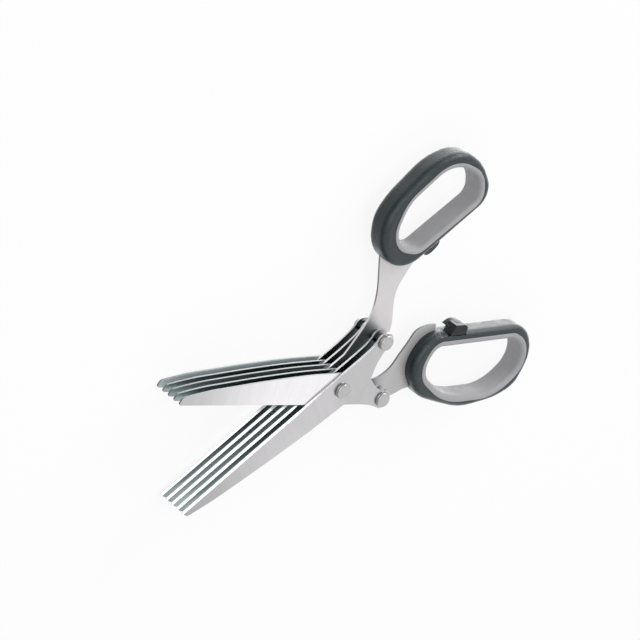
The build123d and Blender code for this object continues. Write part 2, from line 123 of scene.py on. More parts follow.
class Bench:
    """Puts nodes into one tree, in rows, and joins them."""

    columns = 12
    column_width = 180
    row_height = 240

    def __init__(self, tree: bpy.types.NodeTree) -> None:
        """Starts on the node tree to fill."""
        self.tree = tree
        self.count = 0

    def put(self, kind: str, inputs: dict | None = None, **settings: object) -> bpy.types.Node:
        """Adds a node.

        Args:
            kind: The node's type name.
            inputs: Values or sockets for its inputs, by name or number.
            **settings: Properties of the node.

        Returns:
            The new node.
        """
        node = self.tree.nodes.new(kind)
        self.count += 1
        row, column = divmod(self.count, self.columns)
        node.location = (self.column_width * column, -self.row_height * row)
        for name, value in settings.items():
            setattr(node, name, value)
        for key, value in (inputs or {}).items():
            if isinstance(value, Socket):
                self.tree.links.new(value, node.inputs[key])
            else:
                node.inputs[key].default_value = value
        return node

    def result(self, kind: str, inputs: dict | None = None, **settings: object) -> Socket:
        """Adds a node as put does and gives its first output."""
        return self.put(kind, inputs, **settings).outputs[0]

    def feed(self, node: bpy.types.Node, sockets: dict[str, Socket]) -> None:
        """Links sockets to the named inputs of a node."""
        for name, socket in sockets.items():
            self.tree.links.new(socket, node.inputs[name])

    def math(
        self, operation: str, first: object, second: object = 0.0, clamp: bool = False,
    ) -> Socket:
        """Adds a sum on two numbers or sockets, kept between 0 and 1 where clamp is true."""
        inputs = {0: first, 1: second}
        return self.result("ShaderNodeMath", inputs, operation=operation, use_clamp=clamp)

    def product(self, first: Socket, *others: object) -> Socket:
        """Multiplies numbers in turn.

        Args:
            first: The first number.
            *others: The numbers or sockets that it is multiplied by.

        Returns:
            The socket of the product.
        """
        for other in others:
            first = self.math("MULTIPLY", first, other)
        return first

    def ramp(self, value: Socket, span: Span, result: Span = RISE) -> Socket:
        """Adds a smooth step over a span, between the results below it and above it."""
        inputs = {0: value, 1: span[0], 2: span[1], 3: result[0], 4: result[1]}
        return self.result("ShaderNodeMapRange", inputs, interpolation_type="SMOOTHSTEP")

    def mix(self, share: Socket, first: object, second: object) -> Socket:
        """Adds a mix of two numbers or sockets, with a share of the second."""
        return self.result("ShaderNodeMix", {0: share, 2: first, 3: second}, data_type="FLOAT")

    def blend(
        self, share: Socket, first: Socket | Colour, second: Colour, mode: str = "MIX",
    ) -> Socket:
        """Adds a mix of two colours.

        Args:
            share: How much of the second colour.
            first: The first colour or its socket.
            second: The second colour.
            mode: The mixing mode.

        Returns:
            The socket of the colour.
        """
        first = first if isinstance(first, Socket) else (*first, 1)
        inputs = {0: share, 6: first, 7: (*second, 1)}
        return self.put("ShaderNodeMix", inputs, data_type="RGBA", blend_type=mode).outputs[2]

    def toned(self, colour: Socket | Colour, tone: Socket) -> Socket:
        """Adds a colour scaled by a tone, which is 1 where the colour stays."""
        inputs = {0: colour, "Scale": tone}
        return self.result("ShaderNodeVectorMath", inputs, operation="SCALE")

    def noise(self, place: Socket, grain: Grain) -> Socket:
        """Adds a noise at coordinates and gives its factor."""
        inputs = dict(Vector=place, Scale=grain.per_m, Detail=grain.octaves, Roughness=grain.rough)
        return self.result("ShaderNodeTexNoise", inputs)

    def place(self, centre: Vector, turn: float, scale: Sequence[float] = (1, 1, 1)) -> Socket:
        """Adds object coordinates seen from a centre and turned about Z, then stretched.

        Args:
            centre: Point that becomes the zero.
            turn: Angle of the pattern's own X from the object's, in radians.
            scale: Stretch along the pattern's own axes.

        Returns:
            The socket of the coordinates.
        """
        coords = self.put("ShaderNodeTexCoord").outputs["Object"]
        inputs = {"Vector": coords, "Location": centre, "Rotation": (0, 0, turn)}
        seen = self.result("ShaderNodeMapping", inputs, vector_type="TEXTURE")
        inputs = {0: seen, 1: tuple(scale)}
        return self.result("ShaderNodeVectorMath", inputs, operation="MULTIPLY")

    def facing(self, kind: str = "True Normal") -> Socket:
        """Adds the facing direction of the flat face, or of the smoothed one."""
        return self.put("ShaderNodeNewGeometry").outputs[kind]

    def split(self, vector: Socket) -> bpy.types.bpy_prop_collection:
        """Adds the three parts of a vector and gives their sockets."""
        return self.put("ShaderNodeSeparateXYZ", {0: vector}).outputs

    def bump(self, height: Socket, depth: float, **more: Socket) -> Socket:
        """Adds a relief of a depth in metres, with its height in shares of it."""
        inputs = {"Height": height, "Strength": 1.0, "Distance": depth, **more}
        return self.result("ShaderNodeBump", inputs)


def placed(name: str, data: bpy.types.ID) -> Piece:
    """Puts a new object into the scene.

    Args:
        name: The object's name.
        data: Its mesh, lamp or camera.

    Returns:
        The object.
    """
    made = bpy.data.objects.new(name, data)
    bpy.context.scene.collection.objects.link(made)
    return made


def empty_material(name: str) -> tuple[bpy.types.Material, Bench]:
    """Starts a material without nodes.

    Args:
        name: The material's name.

    Returns:
        The material and a bench on its tree.
    """
    material = bpy.data.materials.new(name)
    material.use_nodes = True
    material.node_tree.nodes.clear()
    return material, Bench(material.node_tree)


def new_material(name: str) -> tuple[bpy.types.Material, Bench, bpy.types.Node]:
    """Starts a material with its main shader.

    Args:
        name: The material's name.

    Returns:
        The material, a bench on its tree, and its main shader.
    """
    material, bench = empty_material(name)
    shader = bench.put("ShaderNodeBsdfPrincipled")
    bench.put("ShaderNodeOutputMaterial", {"Surface": shader.outputs[0]})
    return material, bench, shader


@dataclass(frozen=True)
class BladeSteel:
    """Ground stainless steel: fine lines across, bright crowned bevel, dull sides, painted shade on
    the inner faces between the blades and painted light along the half.

    Spans named steep or flat read the upward share of the facing direction, which is 1 on a face.
    Those named toward read how far a surface faces the cutting side, those named band read a
    noise, and those in millimetres read the place along the half.
    """

    name: str
    side: Side
    face: Colour = (0.57, 0.56, 0.57)
    bevel: Colour = (0.88, 0.88, 0.88)
    flank: Colour = (0.19, 0.195, 0.20)
    # Cool tint of the painted shade on the inner faces between the blades.
    inner_shade_tint: Colour = (0.84, 1.0, 1.0)
    metal: float = 1.0
    arm_metal: float = 1.0
    arm_start: Span = (20 * MM, 34 * MM)
    roughness: float = 0.24
    bevel_roughness: float = 0.22
    flank_roughness: float = 0.40
    roughness_swing: Span = (-0.03, 0.04)
    swing_band: Span = (0.25, 0.75)

    lines: Grain = Grain(2600.0, 4.0, 0.65)
    line_stretch: float = 0.03
    line_depth: float = 6.0e-7
    line_tones: Span = (0.965, 1.025)
    line_flat: Span = (0.94, 0.99)
    line_shares: Span = (0.1, 1.0)
    broad: Grain = Grain(260.0)
    broad_stretch: float = 0.12
    cloud: Grain = Grain(45.0, 2.0)
    cloud_tones: Span = (0.98, 1.015)

    crown: float = 0.48
    bevel_steep: Span = (0.70, 0.76)
    bevel_flat: Span = (0.94, 0.97)
    bevel_toward: Span = (0.10, 0.25)
    flank_steep: Span = (0.45, 0.85)
    flank_toward: Span = (0.5, 0.7)

    # Painted shade on the inner faces between the blades: its tone, where it deepens further back,
    # how much deeper, and where it ends.
    inner_tone: float = 0.62
    inner_shade_deepens: Span = (4 * MM, 18 * MM)
    deep_shade_share: float = 0.45
    inner_shade_ends: Span = (22 * MM, 33 * MM)
    front_flat: Span = (0.90, 0.97)
    front_level: float = 17.5 * MM
    back_flat: Span = (-0.97, -0.70)
    back_level: float = 3.0 * MM
    # Painted light along the half: a tone from tip to root, and a darker painted shade from the
    # pivot back.
    tip_light_tone: float = 1.0
    root_light_tone: float = 1.0
    tip_to_root: Span = (-90 * MM, -30 * MM)
    rear_shade_tone: float = 0.84
    rear_start: Span = (-8 * MM, 3 * MM)
    # Painted highlight: tone of surfaces steeper than the faces (eased edges, sides, steep bevel),
    # in place of the tone along the half.
    edge_highlight_tone: float = 1.0
    edge_flat: Span = (0.88, 0.95)

    def material(self) -> bpy.types.Material:
        """Builds the material.

        Returns:
            The material.
        """
        material, bench, shader = new_material(self.name)
        turn = self.side.turn
        plain = bench.place(ORIGIN, turn)
        lines = bench.noise(bench.place(ORIGIN, turn, (1, self.line_stretch, 1)), self.lines)
        broad = bench.noise(bench.place(ORIGIN, turn, (1, self.broad_stretch, 1)), self.broad)
        cloud = bench.noise(plain, self.cloud)
        upward = bench.split(bench.facing())[2]
        flat = bench.math("ABSOLUTE", upward)
        on_bevel, on_flank = self._ground(bench, flat)
        light_and_shade, inner = self._light_and_shade_tone(bench, plain, upward)
        # Tone from the ground lines and random clouds, times the painted light and shade.
        tone = bench.product(
            bench.ramp(lines, NOISE_BAND, self.line_tones),
            bench.ramp(broad, NOISE_BAND, self.cloud_tones),
            bench.ramp(cloud, NOISE_BAND, self.cloud_tones),
            light_and_shade,
        )
        colour = bench.blend(on_bevel, self.face, self.bevel)
        # Painted shade: a cool tint on the inner faces between the blades.
        colour = bench.blend(inner, colour, self.inner_shade_tint, "MULTIPLY")
        colour = bench.blend(on_flank, colour, self.flank)
        rough = bench.mix(on_bevel, self.roughness, self.bevel_roughness)
        rough = bench.mix(on_flank, rough, self.flank_roughness)
        swing = bench.ramp(lines, self.swing_band, self.roughness_swing)
        height = bench.product(lines, bench.ramp(flat, self.line_flat, self.line_shares))
        shader.inputs["Metallic"].default_value = self.metal
        if self.arm_metal != self.metal:
            metal = bench.ramp(bench.split(plain)[0], self.arm_start, (self.metal, self.arm_metal))
            bench.feed(shader, {"Metallic": metal})
        bench.feed(shader, {
            "Base Color": bench.toned(colour, tone),
            "Roughness": bench.math("ADD", rough, swing, clamp=True),
            "Normal": bench.bump(height, self.line_depth, Normal=self._crowned(bench, on_bevel)),
        })
        return material

    def _ground(self, bench: Bench, flat: Socket) -> tuple[Socket, Socket]:
        """Where the ground bevel and the cut side below it are.

        Args:
            bench: The bench of the material's tree.
            flat: Upward or downward share of the facing direction.

        Returns:
            The sockets of the bevel's share and the cut side's.
        """
        inputs = {0: bench.facing(), 1: self.side.cutting}
        toward = bench.put("ShaderNodeVectorMath", inputs, operation="DOT_PRODUCT").outputs["Value"]
        on_bevel = bench.product(
            bench.ramp(flat, self.bevel_steep),
            bench.ramp(flat, self.bevel_flat, FALL),
            bench.ramp(toward, self.bevel_toward),
        )
        on_flank = bench.product(
            bench.ramp(flat, self.flank_steep, FALL),
            bench.ramp(toward, self.flank_toward, FALL),
        )
        return on_bevel, on_flank

    def _crowned(self, bench: Bench, on_bevel: Socket) -> Socket:
        """Facing direction, leaning outwards on the bevel as on a slightly rounded one.

        Args:
            bench: The bench of the material's tree.
            on_bevel: The bevel's share.

        Returns:
            The socket of the direction.
        """
        swell = bench.math("ADD", bench.product(on_bevel, self.crown), 1.0)
        widen = bench.result("ShaderNodeCombineXYZ", {0: swell, 1: swell, 2: 1.0})
        inputs = {0: bench.facing("Normal"), 1: widen}
        crowned = bench.result("ShaderNodeVectorMath", inputs, operation="MULTIPLY")
        return bench.result("ShaderNodeVectorMath", {0: crowned}, operation="NORMALIZE")

    def _light_and_shade_tone(self, bench: Bench, plain: Socket, upward: Socket) -> tuple[Socket, Socket]:
        """Painted light and shade on the faces: painted shade on the inner faces between the
        blades, deeper further back, and on the outer faces a painted light gradient from tip to
        root, a darker painted shade from the pivot back and a painted highlight tone on edges.

        Args:
            bench: The bench of the material's tree.
            plain: Coordinates along and across the half.
            upward: Upward share of the facing direction.

        Returns:
            The sockets of the painted light and shade tone and of the share of inner face.
        """
        along, _, level = bench.split(plain)[:3]
        front = bench.product(
            bench.ramp(upward, self.front_flat),
            bench.math("LESS_THAN", level, self.front_level),
        )
        back = bench.product(
            bench.ramp(upward, self.back_flat, FALL),
            bench.math("GREATER_THAN", level, self.back_level),
        )
        inner = bench.product(
            bench.math("MAXIMUM", front, back),
            bench.ramp(along, self.inner_shade_ends, FALL),
        )
        # Painted light on the outer faces: gradient from tip to root, darker painted shade from the
        # pivot back.
        outer = bench.product(
            bench.ramp(along, self.tip_to_root, (self.tip_light_tone, self.root_light_tone)),
            bench.ramp(along, self.rear_start, (1.0, self.rear_shade_tone / self.root_light_tone)),
        )
        on_face = bench.ramp(bench.math("ABSOLUTE", upward), self.edge_flat)
        outer = bench.mix(on_face, self.edge_highlight_tone, outer)
        deep_shade_tones = (self.inner_tone, self.inner_tone * self.deep_shade_share)
        deep_shade = bench.ramp(along, self.inner_shade_deepens, deep_shade_tones)
        return bench.mix(inner, outer, deep_shade), inner


@dataclass(frozen=True)
class TurnedSteel:
    """Turned steel: fine rings about the axis, with small scratches."""

    name: str
    axis: tuple[float, float]
    colour: Colour = (0.46, 0.46, 0.46)
    roughness: float = 0.26
    roughness_swing: Span = (-0.04, 0.06)
    ring_pitch: float = 0.30 * MM
    ring_share: float = 0.3
    wander: Grain = Grain(900.0, 2.0)
    wander_reach: float = 0.15 * MM
    scratch: Grain = Grain(3200.0, 3.0, 0.6)
    scratch_tones: Span = (0.9, 1.05)
    cloud: Grain = Grain(420.0, 2.0)
    cloud_tones: Span = (0.93, 1.04)
    depth: float = 1.0e-6

    def material(self) -> bpy.types.Material:
        """Builds the material.

        Returns:
            The material.
        """
        material, bench, shader = new_material(self.name)
        seen = bench.place(Vector((*self.axis, 0)), 0.0)
        across, up = bench.split(seen)[:2]
        flat = bench.result("ShaderNodeCombineXYZ", {0: across, 1: up})
        radius = bench.put("ShaderNodeVectorMath", {0: flat}, operation="LENGTH").outputs["Value"]
        wander = bench.product(bench.noise(seen, self.wander), self.wander_reach)
        turns = bench.product(bench.math("ADD", radius, wander), math.tau / self.ring_pitch)
        rings = bench.product(bench.math("SINE", turns), self.ring_share)
        scratch = bench.noise(seen, self.scratch)
        cloud = bench.noise(seen, self.cloud)
        tone = bench.product(
            bench.ramp(scratch, NOISE_BAND, self.scratch_tones),
            bench.ramp(cloud, NOISE_BAND, self.cloud_tones),
        )
        swing = bench.ramp(cloud, NOISE_BAND, self.roughness_swing)
        shader.inputs["Metallic"].default_value = 1.0
        bench.feed(shader, {
            "Base Color": bench.toned(self.colour, tone),
            "Roughness": bench.math("ADD", self.roughness, swing, clamp=True),
            "Normal": bench.bump(bench.math("ADD", rings, scratch), self.depth),
        })
        return material


@dataclass(frozen=True)
class DullShadedSteel(TurnedSteel):
    """Turned steel made dull, with a dark colour that is painted shade, for the fittings between
    the blades.
    """

    # Painted shade: the dark colour stands in for the shade between the blades.
    colour: Colour = (0.17, 0.175, 0.18)
    roughness: float = 0.42


@dataclass(frozen=True)
class MouldedPlastic:
    """Moulded plastic with the fine grain of an etched mould, a slight mottle and wear."""

    name: str
    colour: Colour
    mottle: Colour
    roughness: float = 0.40
    worn: float = 0.08
    specular: float = 0.55
    grain_per_m: float = 2600.0
    grain_octaves: float = 2.0
    grain_rough: float = 0.6
    grain_depth: float = 1.3e-5
    speck_scale: float = 0.6
    speck_share: float = 0.5
    lighter: float = 1.6
    lighter_band: Span = (0.55, 0.8)
    lighter_shares: Span = (0.0, 0.25)
    cloud: Grain = Grain(70.0)
    cloud_band: Span = (0.35, 0.65)
    patch: Grain = Grain(420.0, 2.0)

    def material(self) -> bpy.types.Material:
        """Builds the material.

        Returns:
            The material.
        """
        material, bench, shader = new_material(self.name)
        seen = bench.place(ORIGIN, 0.0)
        grain = bench.noise(seen, Grain(self.grain_per_m, self.grain_octaves, self.grain_rough))
        inputs = {"Vector": seen, "Scale": self.grain_per_m * self.speck_scale}
        speck = bench.put("ShaderNodeTexVoronoi", inputs).outputs["Distance"]
        cloud = bench.ramp(bench.noise(seen, self.cloud), self.cloud_band)
        wear = bench.ramp(bench.noise(seen, self.patch), NOISE_BAND, (-self.worn / 2, self.worn))
        light = tuple(min(1.0, part * self.lighter) for part in self.colour)
        colour = bench.blend(cloud, self.colour, self.mottle)
        pale = bench.ramp(grain, self.lighter_band, self.lighter_shares)
        colour = bench.blend(pale, colour, light)
        height = bench.math("ADD", grain, bench.product(speck, self.speck_share))
        shader.inputs["Specular IOR Level"].default_value = self.specular
        bench.feed(shader, {
            "Base Color": colour,
            "Roughness": bench.math("ADD", self.roughness, wear, clamp=True),
            "Normal": bench.bump(height, self.grain_depth),
        })
        return material


class PieceTree:
    """Geometry Nodes tree with named inputs, whose result becomes an object's plain mesh."""

    title: str = "piece"
    takes: str | None = None
    inputs: dict[str, str] = {}

    def __init__(self) -> None:
        """Builds the tree's interface and fills it."""
        self.tree = bpy.data.node_groups.new(self.title, "GeometryNodeTree")
        face = self.tree.interface
        if self.takes:
            face.new_socket(self.takes, in_out="INPUT", socket_type="NodeSocketGeometry")
        self.sockets = {
            name: face.new_socket(name, in_out="INPUT", socket_type=f"NodeSocket{kind}").identifier
            for name, kind in self.inputs.items()
        }
        face.new_socket("Geometry", in_out="OUTPUT", socket_type="NodeSocketGeometry")
        self._fill(Bench(self.tree))

    def _fill(self, bench: Bench) -> None:
        """Adds the nodes on the tree's bench."""
        raise NotImplementedError

    def run(self, holder: Piece, values: dict[str, object]) -> None:
        """Runs the tree on an object and leaves the result as its plain mesh.

        Args:
            holder: The object.
            values: Values of the named inputs.
        """
        modifier = holder.modifiers.new(self.title, "NODES")
        modifier.node_group = self.tree
        for name, value in values.items():
            modifier[self.sockets[name]] = value
        bpy.context.view_layer.update()
        made = holder.evaluated_get(bpy.context.evaluated_depsgraph_get())
        mesh = bpy.data.meshes.new_from_object(made)
        holder.modifiers.clear()
        holder.data = mesh
        mesh.name = holder.name


class RingStackTree(PieceTree):
    """Tree for equal rings with rounded edges, stacked along Z."""

    title = "ring_stack"
    inputs = {
        "Radius": "Float", "Bore": "Float", "Height": "Float", "Pitch": "Float",
        "Rounding": "Float", "Count": "Int", "Finish": "Material",
    }
    segments = 96
    rounding_steps = 4

    def _fill(self, bench: Bench) -> None:
        """Adds the nodes: a rounded profile round a circle, repeated on a line of points.

        Args:
            bench: The bench of the tree.
        """
        given = bench.put("NodeGroupInput").outputs
        wall = bench.math("SUBTRACT", given["Radius"], given["Bore"])
        middle = bench.product(bench.math("ADD", given["Radius"], given["Bore"]), 0.5)
        inputs = {"Resolution": self.segments, "Radius": middle}
        circle = bench.put("GeometryNodeCurvePrimitiveCircle", inputs).outputs["Curve"]
        inputs = {"Width": wall, "Height": given["Height"]}
        section = bench.result("GeometryNodeCurvePrimitiveQuadrilateral", inputs)
        inputs = {"Curve": section, "Radius": given["Rounding"]}
        rounded = bench.put("GeometryNodeFilletCurve", inputs)
        self._short_steps(rounded)
        inputs = {"Curve": circle, "Profile Curve": rounded.outputs[0]}
        ring = bench.result("GeometryNodeCurveToMesh", inputs)
        step = bench.result("ShaderNodeCombineXYZ", {2: given["Pitch"]})
        inputs = {"Count": given["Count"], "Offset": step}
        line = bench.result("GeometryNodeMeshLine", inputs, mode="OFFSET")
        rings = bench.result("GeometryNodeInstanceOnPoints", {"Points": line, "Instance": ring})
        real = bench.result("GeometryNodeRealizeInstances", {"Geometry": rings})
        inputs = {"Geometry": real, "Shade Smooth": True}
        smooth = bench.result("GeometryNodeSetShadeSmooth", inputs)
        inputs = {"Geometry": smooth, "Material": given["Finish"]}
        bench.put("NodeGroupOutput", {0: bench.result("GeometryNodeSetMaterial", inputs)})

    def _short_steps(self, fillet: bpy.types.Node) -> None:
        """Sets a fillet node to short straight steps, under either of its interfaces.

        Args:
            fillet: The node.
        """
        if hasattr(fillet, "mode"):
            fillet.mode = "POLY"
        elif "Mode" in fillet.inputs:
            fillet.inputs["Mode"].default_value = "Poly"
        fillet.inputs["Count"].default_value = self.rounding_steps

    def make(self, name: str, values: dict[str, object], at: Vector) -> Piece:
        """Makes a stack of rings.

        Args:
            name: The object's name.
            values: Values of the named inputs.
            at: Middle of the first ring.

        Returns:
            The object, with its place in its mesh.
        """
        stack = placed(name, bpy.data.meshes.new(name))
        self.run(stack, values)
        stack.data.transform(Matrix.Translation(at))
        return stack


class BladeCombTree(PieceTree):
    """Tree that repeats one blade up the stack and leaves out the level of the arm."""

    title = "blade_comb"
    takes = "Blade"
    inputs = {
        "Pitch": "Float", "Count": "Int", "Left Out": "Int",
        "Back Level": "Float", "Finish": "Material", "Back Finish": "Material",
    }

    def _fill(self, bench: Bench) -> None:
        """Adds the nodes: a line of points less one, a blade on each, the lowest in its own finish.

        Args:
            bench: The bench of the tree.
        """
        given = bench.put("NodeGroupInput").outputs
        step = bench.result("ShaderNodeCombineXYZ", {2: given["Pitch"]})
        inputs = {"Count": given["Count"], "Offset": step}
        line = bench.result("GeometryNodeMeshLine", inputs, mode="OFFSET")
        inputs = {2: bench.result("GeometryNodeInputIndex"), 3: given["Left Out"]}
        gap = bench.result("FunctionNodeCompare", inputs, data_type="INT", operation="EQUAL")
        levels = bench.result("GeometryNodeDeleteGeometry", {"Geometry": line, "Selection": gap})
        inputs = {"Points": levels, "Instance": given["Blade"]}
        blades = bench.result("GeometryNodeInstanceOnPoints", inputs)
        real = bench.result("GeometryNodeRealizeInstances", {"Geometry": blades})
        inputs = {"Geometry": real, "Material": given["Finish"]}
        dressed = bench.result("GeometryNodeSetMaterial", inputs)
        height = bench.split(bench.result("GeometryNodeInputPosition"))[2]
        low = bench.math("LESS_THAN", height, given["Back Level"])
        inputs = {"Geometry": dressed, "Selection": low, "Material": given["Back Finish"]}
        bench.put("NodeGroupOutput", {0: bench.result("GeometryNodeSetMaterial", inputs)})


def steepness(edge: bmesh.types.BMEdge) -> tuple[float, float]:
    """Upward or downward shares of the facing directions of an edge's two faces.

    Args:
        edge: The edge.

    Returns:
        The two shares, flattest face first, or zeros where the edge hasn't two faces.
    """
    if len(edge.link_faces) != 2:
        return 0.0, 0.0
    high, low = sorted((abs(side.normal.z) for side in edge.link_faces), reverse=True)
    return high, low


@dataclass
class EasedPlate:
    """Copy of a blade or arm with rounded tip, narrowed bevel and eased outer edges."""

    node: str
    name: str
    side: Side
    ease: float = 0.12 * MM
    ease_steps: int = 2
    keep_clear: float = 5.0 * MM
    tip_round: float = 0.9 * MM
    tip_steps: int = 5
    tip_along: float = -80.0 * MM
    tip_angle: float = math.radians(15)
    narrowing: float = 0.5 * MM
    least_share: float = 0.1
    bevel_full: float = -24.0 * MM
    bevel_end: float = -7.0 * MM
    bevel_steep: Span = (0.80, 0.97)
    cutting_share: float = 0.6
    cutting_end: float = -4.0 * MM
    weld: float = 2e-6
    sliver: float = 4e-6
    join_angle: float = math.radians(0.5)
    smooth_below: float = 0.88
    sharp_from: float = math.radians(40)

    def build(self, nodes: Nodes, holes: Sequence[tuple[float, float]] = ()) -> Piece:
        """Copies and refines the plate.

        Args:
            nodes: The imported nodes.
            holes: Places of the rivets, whose edges stay as they are.

        Returns:
            The refined plate.
        """
        source = nodes[self.node]
        shape = bmesh.new()
        shape.from_mesh(source.data)
        shape.transform(source.matrix_world)
        bmesh.ops.remove_doubles(shape, verts=shape.verts, dist=self.weld)
        bmesh.ops.dissolve_limit(
            shape, angle_limit=self.join_angle, verts=shape.verts, edges=shape.edges,
            delimit={"NORMAL"})
        self._narrow_bevel(shape)
        tips = [edge for edge in shape.edges if self._tip_corner(edge)]
        self._round(shape, tips, self.tip_round, self.tip_steps, True)
        if self.ease > 0:
            outer = [edge for edge in shape.edges if self._outer(edge, holes)]
            self._round(shape, outer, self.ease, self.ease_steps, False)
        bmesh.ops.remove_doubles(shape, verts=shape.verts, dist=self.sliver)
        bmesh.ops.dissolve_degenerate(shape, edges=shape.edges, dist=self.sliver)
        bmesh.ops.recalc_face_normals(shape, faces=shape.faces)
        for side in shape.faces:
            side.smooth = abs(side.normal.z) < self.smooth_below
        for edge in shape.edges:
            edge.smooth = edge.calc_face_angle(0.0) < self.sharp_from
        mesh = bpy.data.meshes.new(self.name)
        shape.to_mesh(mesh)
        shape.free()
        return placed(self.name, mesh)

    @staticmethod
    def _round(
        shape: bmesh.types.BMesh, edges: Sequence[bmesh.types.BMEdge],
        size: float, steps: int, clamp: bool,
    ) -> None:
        """Rounds edges.

        Args:
            shape: The plate.
            edges: The edges.
            size: Width that is taken off each face.
            steps: Faces across each rounding.
            clamp: Whether roundings stop where they would overlap.
        """
        bmesh.ops.bevel(
            shape, geom=edges, offset=size, offset_type="OFFSET", segments=steps, profile=0.5,
            affect="EDGES", clamp_overlap=clamp)

    def _narrow_bevel(self, shape: bmesh.types.BMesh) -> None:
        """Brings the inner border of the ground bevel nearer to the cutting edge.

        Args:
            shape: The plate, with its flat faces joined.
        """
        cutting = self.side.cutting
        moves = {}
        for edge in shape.edges:
            flat, steep = steepness(edge)
            if flat >= FLAT and self.bevel_steep[0] <= steep <= self.bevel_steep[1]:
                for vert in edge.verts:
                    moves[vert] = self._slide(vert, cutting)
        for vert, move in moves.items():
            vert.co += move
        shape.normal_update()

    def _slide(self, vert: bmesh.types.BMVert, cutting: Vector) -> Vector:
        """Way of a corner of the bevel's inner border, along the tip's end where it lies on that.

        Args:
            vert: The corner.
            cutting: Direction of the cutting side.

        Returns:
            The way.
        """
        way = cutting
        for edge in vert.link_edges:
            flat, steep = steepness(edge)
            if flat >= FLAT and steep <= UPRIGHT:
                way = (vert.co - edge.other_vert(vert).co).normalized()
                way = way / way.dot(cutting)
        share = (self.bevel_end - self.side.along(vert.co)) / (self.bevel_end - self.bevel_full)
        return way * self.narrowing * min(1.0, max(self.least_share, share))

    def _tip_corner(self, edge: bmesh.types.BMEdge) -> bool:
        """Whether an edge is an upright corner at the tip.

        Args:
            edge: The edge.

        Returns:
            Whether it is.
        """
        if len(edge.link_faces) != 2 or steepness(edge)[0] > UPRIGHT:
            return False
        middle = (edge.verts[0].co + edge.verts[1].co) / 2
        at_tip = self.side.along(middle) < self.tip_along
        return at_tip and edge.calc_face_angle(0.0) > self.tip_angle

    def _outer(self, edge: bmesh.types.BMEdge, holes: Sequence[tuple[float, float]]) -> bool:
        """Whether an edge runs between a face and a cut side, away from rivets and cutting edge.

        Args:
            edge: The edge.
            holes: Places of the rivets.

        Returns:
            Whether it does.
        """
        flat, steep = steepness(edge)
        if flat < FLAT or steep > UPRIGHT:
            return False
        flank = min(edge.link_faces, key=lambda side: abs(side.normal.z))
        middle = (edge.verts[0].co + edge.verts[1].co) / 2
        cuts = flank.normal.dot(self.side.cutting) > self.cutting_share
        if cuts and self.side.along(middle) < self.cutting_end:
            return False
        return all((middle.xy - Vector(hole)).length > self.keep_clear for hole in holes)


@dataclass
class Rivet:
    """Round rivet with a flat, well rounded head at each end."""

    name: str
    node: str
    body: str
    finish: bpy.types.Material
    shaft_radius: float = 1.5 * MM
    head_radius: float = 3.5 * MM
    head_height: float = 1.5 * MM
    edge: float = 0.4 * MM
    edge_steps: int = 6
    crown: float = 0.05 * MM
    crown_from: float = 0.55
    crown_share: float = 0.25
    segments: int = 96
    weld: float = 1e-6
    sliver: float = 1e-7
    sharp_from: float = math.radians(50)

    def profile(self, low: float, high: float) -> list[tuple[float, float]]:
        """Half section between the heights of the poles, as points of radius and height."""
        return self._head(low, 1) + self._head(high, -1)[::-1]

    def _head(self, base: float, sign: int) -> list[tuple[float, float]]:
        """Half section of a head, from its pole to where the shaft starts.

        Args:
            base: Height of the pole.
            sign: 1 for the lower head, -1 for the upper one.

        Returns:
            Points as radius and height.
        """
        rim = self.head_radius - self.edge
        points = [
            (0.0, base),
            (self.crown_from * self.head_radius, base + sign * self.crown * self.crown_share),
            (rim, base + sign * self.crown),
        ]
        for step in range(1, self.edge_steps + 1):
            angle = step / self.edge_steps * math.pi / 2
            drop = self.crown + self.edge * (1 - math.cos(angle))
            points.append((rim + self.edge * math.sin(angle), base + sign * drop))
        under = base + sign * self.head_height
        return points + [
            (self.head_radius, under - sign * self.crown),
            (self.head_radius - self.crown, under),
            (self.shaft_radius, under),
        ]

    def build(self) -> Piece:
        """Turns the section about the rivet's axis.

        Returns:
            The rivet, which stands for its node.
        """
        low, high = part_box(self.node)
        axis = (low + high) / 2
        shape = bmesh.new()
        points = [shape.verts.new((axis.x + r, axis.y, z)) for r, z in self.profile(low.z, high.z)]
        edges = [shape.edges.new(pair) for pair in zip(points, points[1:])]
        bmesh.ops.spin(
            shape, geom=points + edges, cent=(axis.x, axis.y, 0), axis=(0, 0, 1), angle=math.tau,
            steps=self.segments)
        bmesh.ops.remove_doubles(shape, verts=shape.verts, dist=self.weld)
        bmesh.ops.dissolve_degenerate(shape, edges=shape.edges, dist=self.sliver)
        bmesh.ops.recalc_face_normals(shape, faces=shape.faces)
        for side in shape.faces:
            side.smooth = True
        for edge in shape.edges:
            edge.smooth = edge.calc_face_angle(0.0) < self.sharp_from
        mesh = bpy.data.meshes.new(self.name)
        shape.to_mesh(mesh)
        shape.free()
        mesh.materials.append(self.finish)
        rivet = placed(self.name, mesh)
        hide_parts(self.node)
        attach(rivet, self.body)
        return rivet


@dataclass
class Rings:
    """Stack of spacers or washers on a rivet."""

    name: str
    nodes: Sequence[str]
    body: str
    radius: float
    bore: float
    rounding: float = 0.12 * MM

    def build(self, tree: RingStackTree, finish: bpy.types.Material) -> Piece:
        """Makes the stack where its nodes are.

        Args:
            tree: The tree that makes rings.
            finish: Their material.

        Returns:
            The stack, which stands for its nodes.
        """
        boxes = sorted((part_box(node) for node in self.nodes), key=lambda box: box[0].z)
        low, high = boxes[0]
        values = {
            "Radius": self.radius, "Bore": self.bore, "Height": high.z - low.z,
            "Pitch": boxes[1][0].z - low.z, "Rounding": self.rounding, "Count": len(boxes),
            "Finish": finish,
        }
        stack = tree.make(self.name, values, (low + high) / 2)
        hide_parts(*self.nodes)
        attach(stack, self.body)
        return stack


def dress(node: Piece, material: bpy.types.Material) -> Piece:
    """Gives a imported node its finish.

    Args:
        node: The node.
        material: The finish.

    Returns:
        The node.
    """
    for slot in node.material_slots:
        slot.material = material
    return node


